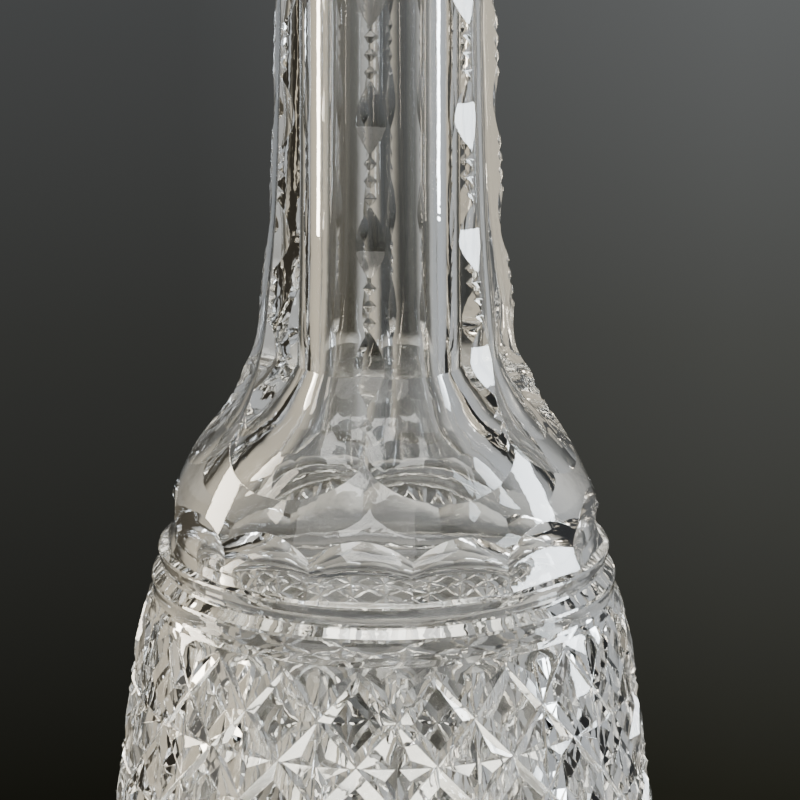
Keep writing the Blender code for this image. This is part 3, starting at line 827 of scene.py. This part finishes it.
def foot_profile(seat, flange_top, stalk_top):
    """(radius, height) of the stalk, the flange and the ground plug, from the top down."""
    flare = STALK_FLARE
    relief = FLANGE_RELIEF
    edge = FLANGE_ROUND
    plug_top = SOCKET_RADIUS - STOPPER_GAP
    plug_foot = BORE_RADIUS - STOPPER_GAP
    spots = [(STALK_RADIUS, stalk_top - STALK_INSET)]
    spots += round_off(STALK_RADIUS + flare, flange_top + flare, flare, 180, 90, ROUND_STEPS)
    spots += round_off(FLANGE_RADIUS - edge, flange_top - edge, edge, 90, -90, ROUND_STEPS)
    spots += round_off(FLANGE_RADIUS - relief, seat + relief, relief, 0, -90, RELIEF_STEPS)
    spots.append((plug_top, seat))
    spots.append((plug_top, BOTTLE_HEIGHT - PLUG_SHOULDER))
    spots.append((plug_foot, SOCKET_FOOT))
    spots.append((plug_foot - PLUG_EDGE, SOCKET_FOOT - PLUG_EDGE_DROP))
    spots.append((plug_foot - PLUG_CHAMFER, SOCKET_FOOT - PLUG_CHAMFER))
    return spots


def build_stopper():
    shell = Shell()
    seat = BOTTLE_HEIGHT + STOPPER_GAP
    flange_top = seat + FLANGE_THICKNESS
    stalk_top = flange_top + STALK_HEIGHT
    angles = head_angles()
    centre = stalk_top - HEAD_RADIUS * math.cos(angles[-1])
    rings = head_rings(shell, angles, centre)
    for r, z in foot_profile(seat, flange_top, stalk_top):
        rings.append(shell.circle(r, z, STOPPER_COLUMNS))
    shell.chain(rings)
    shell.cap(rings[-1], SOCKET_FOOT - PLUG_CHAMFER)
    shell.close_up(rings[0], centre + HEAD_RADIUS * math.cos(angles[0]))
    return shell.mesh("stopper_glass")


# Materials.

CRYSTAL_TINT = (0.985, 0.99, 0.99)
CRYSTAL_IOR = 1.545
SMEAR_SCALE = 55.0
SMEAR_SHARES = (0.52, 0.80)
POLISHED_ROUGHNESS = (0.004, 0.035)
GROUND_ROUGHNESS = 0.34
WAVE_SCALE = 170.0
GRIT_SCALE = 5200.0
BUMP_STRENGTH = 0.35
BUMP_HEIGHT = 0.00012
POLISHED_EDGE = 0.00022
GROUND_MARGIN = 0.0004
GROUND_FADE = 0.0006
PLUG_GROUND_TOP = 0.0012
PLUG_GROUND_REACH = 0.0009


def noise(nodes, links, place, scale, detail):
    texture = nodes.new("ShaderNodeTexNoise")
    texture.inputs["Scale"].default_value = scale
    texture.inputs["Detail"].default_value = detail
    links.new(place, texture.inputs["Vector"])
    return texture.outputs["Fac"]


def remapped(nodes, links, value, source, target):
    share = nodes.new("ShaderNodeMapRange")
    share.inputs["From Min"].default_value = source[0]
    share.inputs["From Max"].default_value = source[1]
    share.inputs["To Min"].default_value = target[0]
    share.inputs["To Max"].default_value = target[1]
    links.new(value, share.inputs["Value"])
    return share.outputs["Result"]


def distance_from_axis(nodes, links, split):
    around = nodes.new("ShaderNodeCombineXYZ")
    links.new(split.outputs["X"], around.inputs["X"])
    links.new(split.outputs["Y"], around.inputs["Y"])
    reach = nodes.new("ShaderNodeVectorMath")
    reach.operation = "LENGTH"
    links.new(around.outputs[0], reach.inputs[0])
    return reach.outputs["Value"]


def surface_roughness(nodes, links, place, frosted):
    """Polished glass with faint smears, and an even matt where it was ground."""
    smear = noise(nodes, links, place, SMEAR_SCALE, 6.0)
    rough = nodes.new("ShaderNodeMix")
    rough.inputs["B"].default_value = GROUND_ROUGHNESS
    links.new(frosted, rough.inputs["Factor"])
    polish = remapped(nodes, links, smear, SMEAR_SHARES, POLISHED_ROUGHNESS)
    links.new(polish, rough.inputs["A"])
    return rough.outputs["Result"]


def surface_normal(nodes, links, place, frosted):
    """A slight wave on polished glass, grit on ground glass, and softened edges between facets."""
    height = nodes.new("ShaderNodeMix")
    links.new(frosted, height.inputs["Factor"])
    links.new(noise(nodes, links, place, WAVE_SCALE, 3.0), height.inputs["A"])
    links.new(noise(nodes, links, place, GRIT_SCALE, 2.0), height.inputs["B"])
    bump = nodes.new("ShaderNodeBump")
    bump.inputs["Strength"].default_value = BUMP_STRENGTH
    bump.inputs["Distance"].default_value = BUMP_HEIGHT
    links.new(height.outputs["Result"], bump.inputs["Height"])
    edges = nodes.new("ShaderNodeBevel")
    edges.samples = 4
    edges.inputs["Radius"].default_value = POLISHED_EDGE
    links.new(edges.outputs["Normal"], bump.inputs["Normal"])
    return bump.outputs["Normal"]


def crystal(name, ground):
    """Polished crystal, frosted where ground(nodes, links, z, r) says that a grinding stone went."""
    material = bpy.data.materials.new(name)
    material.use_nodes = True
    nodes = material.node_tree.nodes
    links = material.node_tree.links
    shader = nodes["Principled BSDF"]
    shader.inputs["Base Color"].default_value = (*CRYSTAL_TINT, 1.0)
    shader.inputs["IOR"].default_value = CRYSTAL_IOR
    shader.inputs["Transmission Weight"].default_value = 1.0
    place = nodes.new("ShaderNodeTexCoord").outputs["Object"]
    split = nodes.new("ShaderNodeSeparateXYZ")
    links.new(place, split.inputs[0])
    reach = distance_from_axis(nodes, links, split)
    frosted = ground(nodes, links, split.outputs["Z"], reach)
    links.new(surface_roughness(nodes, links, place, frosted), shader.inputs["Roughness"])
    links.new(surface_normal(nodes, links, place, frosted), shader.inputs["Normal"])
    return material


def above(nodes, links, value, edge, width):
    """0 below an edge and 1 above it, over a soft width. A negative width turns it round."""
    ramp = nodes.new("ShaderNodeMapRange")
    ramp.interpolation_type = "SMOOTHSTEP"
    ramp.inputs["From Min"].default_value = edge
    ramp.inputs["From Max"].default_value = edge + abs(width)
    ramp.inputs["To Min"].default_value = 0.0 if width > 0 else 1.0
    ramp.inputs["To Max"].default_value = 1.0 if width > 0 else 0.0
    links.new(value, ramp.inputs["Value"])
    return ramp.outputs["Result"]


def both(nodes, links, first, second):
    times = nodes.new("ShaderNodeMath")
    times.operation = "MULTIPLY"
    links.new(first, times.inputs[0])
    links.new(second, times.inputs[1])
    return times.outputs[0]


def ground_socket(nodes, links, z, r):
    high = above(nodes, links, z, SOCKET_FOOT + GROUND_MARGIN, GROUND_FADE)
    near = above(nodes, links, r, SOCKET_RADIUS + GROUND_MARGIN, -GROUND_FADE)
    return both(nodes, links, high, near)


def ground_plug(nodes, links, z, r):
    foot = BORE_RADIUS - STOPPER_GAP
    low = above(nodes, links, z, BOTTLE_HEIGHT - PLUG_GROUND_TOP, -GROUND_FADE)
    side = above(nodes, links, r, foot - PLUG_GROUND_REACH, GROUND_MARGIN)
    return both(nodes, links, low, side)


def finish_piece(piece, material, sharp, body, node):
    piece.data.materials.append(material)
    for face in piece.data.polygons:
        face.use_smooth = True
    piece.data.set_sharp_from_angle(angle=math.radians(sharp))
    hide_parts(node)
    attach(piece, body)


# Stage. Directions are shares of a unit vector, so 0.24 to the side is 14 degrees.

CHARCOAL = ((0.010, 0.010, 0.007), (0.038, 0.039, 0.036), (0.074, 0.077, 0.078))
CHARCOAL_REACH = (-0.40, 0.02)
SIDE_GREYS = ((0.72, 0.63, 0.47), (0.38, 0.362, 0.315), (0.52, 0.555, 0.59))
SIDES_FROM = 0.24
SIDES_FADE = 0.36
CEILING_FROM = 0.06
CEILING_FADE = 0.34
GROUND_BELOW = -0.62
GROUND_BLEND = 0.17
LIGHTER_REACH = (-0.10, 0.16)
LIGHTER_STRENGTH = (1.0, 1.9)
FLOOR_RADIUS = 0.15
FLOOR_LEVEL = -0.0003
FLOOR_COLUMNS = 96
FLOOR_COLOUR = (0.66, 0.64, 0.585)
FLOOR_SOLID = 0.085
FLOOR_FADE = 0.055
LIGHT_AIM = (0.0, 0.0, 0.14)
CAMERA_TILT = math.radians(13.0)
CAMERA_DISTANCE = 0.3713
CAMERA_TARGET = (0.00298, 0.141)
CAMERA_SENSOR = 36.0
CAMERA_LENS = 92.66


def build_world():
    """A studio, charcoal before and behind the object, with soft grey sides, ceiling and ground."""
    world = bpy.data.worlds.new("studio")
    bpy.context.scene.world = world
    world.use_nodes = True
    nodes = world.node_tree.nodes
    links = world.node_tree.links
    backdrop = nodes["Background"]
    place = nodes.new("ShaderNodeTexCoord")
    split = nodes.new("ShaderNodeSeparateXYZ")
    links.new(place.outputs["Generated"], split.inputs[0])
    across = split.outputs["X"]
    up = split.outputs["Z"]
    away = nodes.new("ShaderNodeMath")
    away.operation = "ABSOLUTE"
    links.new(across, away.inputs[0])
    beside = above(nodes, links, away.outputs[0], SIDES_FROM, SIDES_FADE)
    over = above(nodes, links, up, CEILING_FROM, CEILING_FADE)
    under = above(nodes, links, up, GROUND_BELOW, -GROUND_BLEND)
    grey = larger(nodes, links, larger(nodes, links, beside, over), under)
    mix = nodes.new("ShaderNodeMix")
    mix.data_type = "RGBA"
    links.new(grey, mix.inputs["Factor"])
    links.new(stepped_colour(nodes, links, up, CHARCOAL_REACH, CHARCOAL), mix.inputs[6])
    links.new(stepped_colour(nodes, links, across, (-1.0, 1.0), SIDE_GREYS), mix.inputs[7])
    links.new(mix.outputs[2], backdrop.inputs["Color"])
    strength = backdrop_strength(nodes, links, across, beside)
    links.new(strength, backdrop.inputs["Strength"])


def backdrop_strength(nodes, links, across, beside):
    """The charcoal gets lighter towards +X, and the sides keep their own tone."""
    strength = nodes.new("ShaderNodeMix")
    strength.inputs["B"].default_value = 1.0
    links.new(beside, strength.inputs["Factor"])
    lean = remapped(nodes, links, across, LIGHTER_REACH, LIGHTER_STRENGTH)
    links.new(lean, strength.inputs["A"])
    return strength.outputs["Result"]


def larger(nodes, links, first, second):
    most = nodes.new("ShaderNodeMath")
    most.operation = "MAXIMUM"
    links.new(first, most.inputs[0])
    links.new(second, most.inputs[1])
    return most.outputs[0]


def stepped_colour(nodes, links, value, reach, colours):
    """Colours spread evenly over a reach of a value."""
    share = remapped(nodes, links, value, reach, (0.0, 1.0))
    ramp = nodes.new("ShaderNodeValToRGB")
    ramp.color_ramp.elements[0].color = (*colours[0], 1.0)
    ramp.color_ramp.elements[1].color = (*colours[-1], 1.0)
    for k in range(1, len(colours) - 1):
        ramp.color_ramp.elements.new(k / (len(colours) - 1)).color = (*colours[k], 1.0)
    links.new(share, ramp.inputs["Fac"])
    return ramp.outputs["Color"]


def floor_mesh():
    """A fan of triangles just under the foot."""
    points = [(0.0, 0.0, FLOOR_LEVEL)]
    for k in range(FLOOR_COLUMNS):
        turn = 2 * math.pi * k / FLOOR_COLUMNS
        points.append((FLOOR_RADIUS * math.sin(turn), -FLOOR_RADIUS * math.cos(turn), FLOOR_LEVEL))
    faces = [(0, k + 1, (k + 1) % FLOOR_COLUMNS + 1) for k in range(FLOOR_COLUMNS)]
    data = bpy.data.meshes.new("floor")
    data.from_pydata(points, [], faces)
    data.update()
    return data


def floor_paint():
    """Pale paint that turns clear towards the rim."""
    material = bpy.data.materials.new("floor_paint")
    material.use_nodes = True
    nodes = material.node_tree.nodes
    links = material.node_tree.links
    shader = nodes["Principled BSDF"]
    shader.inputs["Base Color"].default_value = (*FLOOR_COLOUR, 1.0)
    shader.inputs["Roughness"].default_value = 0.7
    place = nodes.new("ShaderNodeTexCoord")
    reach = nodes.new("ShaderNodeVectorMath")
    reach.operation = "LENGTH"
    links.new(place.outputs["Object"], reach.inputs[0])
    fade = above(nodes, links, reach.outputs["Value"], FLOOR_SOLID, FLOOR_FADE)
    clear = nodes.new("ShaderNodeBsdfTransparent")
    mix = nodes.new("ShaderNodeMixShader")
    links.new(fade, mix.inputs["Fac"])
    links.new(shader.outputs[0], mix.inputs[1])
    links.new(clear.outputs[0], mix.inputs[2])
    links.new(mix.outputs[0], nodes["Material Output"].inputs["Surface"])
    return material


def build_floor():
    """A pale floor that falls off into the dark of the studio."""
    floor = bpy.data.objects.new("floor", floor_mesh())
    bpy.context.scene.collection.objects.link(floor)
    floor.data.materials.append(floor_paint())


def add_light(name, place, size, power, tint):
    data = bpy.data.lights.new(name, "AREA")
    data.shape = "RECTANGLE"
    data.size, data.size_y = size
    data.energy = power
    data.color = tint
    light = bpy.data.objects.new(name, data)
    bpy.context.scene.collection.objects.link(light)
    light.location = place
    light.visible_camera = False
    way = [t - p for t, p in zip(LIGHT_AIM, place)]
    flat = math.hypot(way[0], way[1])
    light.rotation_euler = (math.atan2(flat, -way[2]), 0.0, math.atan2(-way[0], way[1]))
    return light


def build_lights():
    add_light("left_softbox", (-0.55, 0.10, 0.30), (0.14, 0.6), 10.0, (1.0, 0.90, 0.74))
    add_light("right_softbox", (0.55, 0.06, 0.32), (0.14, 0.6), 10.0, (0.86, 0.94, 1.0))
    add_light("back_strip", (0.16, 0.62, 0.58), (0.35, 0.07), 4.5, (0.95, 0.98, 1.0))
    add_light("overhead", (0.0, 0.05, 0.95), (0.5, 0.5), 18.0, (1.0, 0.99, 0.95))
    add_light("front_window", (-0.25, -0.85, 0.75), (1.2, 0.8), 6.0, (1.0, 0.98, 0.93))


def build_camera():
    data = bpy.data.cameras.new("camera")
    camera = bpy.data.objects.new("camera", data)
    bpy.context.scene.collection.objects.link(camera)
    data.sensor_width = CAMERA_SENSOR
    data.lens = CAMERA_LENS
    data.clip_start = 0.01
    side, height = CAMERA_TARGET
    back = CAMERA_DISTANCE * math.cos(CAMERA_TILT)
    rise = CAMERA_DISTANCE * math.sin(CAMERA_TILT)
    camera.location = (side, -back, height + rise)
    camera.rotation_euler = (0.5 * math.pi - CAMERA_TILT, 0.0, 0.0)
    bpy.context.scene.camera = camera


def main():
    bottle_crystal = crystal("bottle_crystal", ground_socket)
    stopper_crystal = crystal("stopper_crystal", ground_plug)
    finish_piece(build_bottle(), bottle_crystal, 12.0, "bottle", "bottle")
    finish_piece(build_stopper(), stopper_crystal, 8.0, "stopper", "stopper")
    build_world()
    build_floor()
    build_lights()
    build_camera()


main()
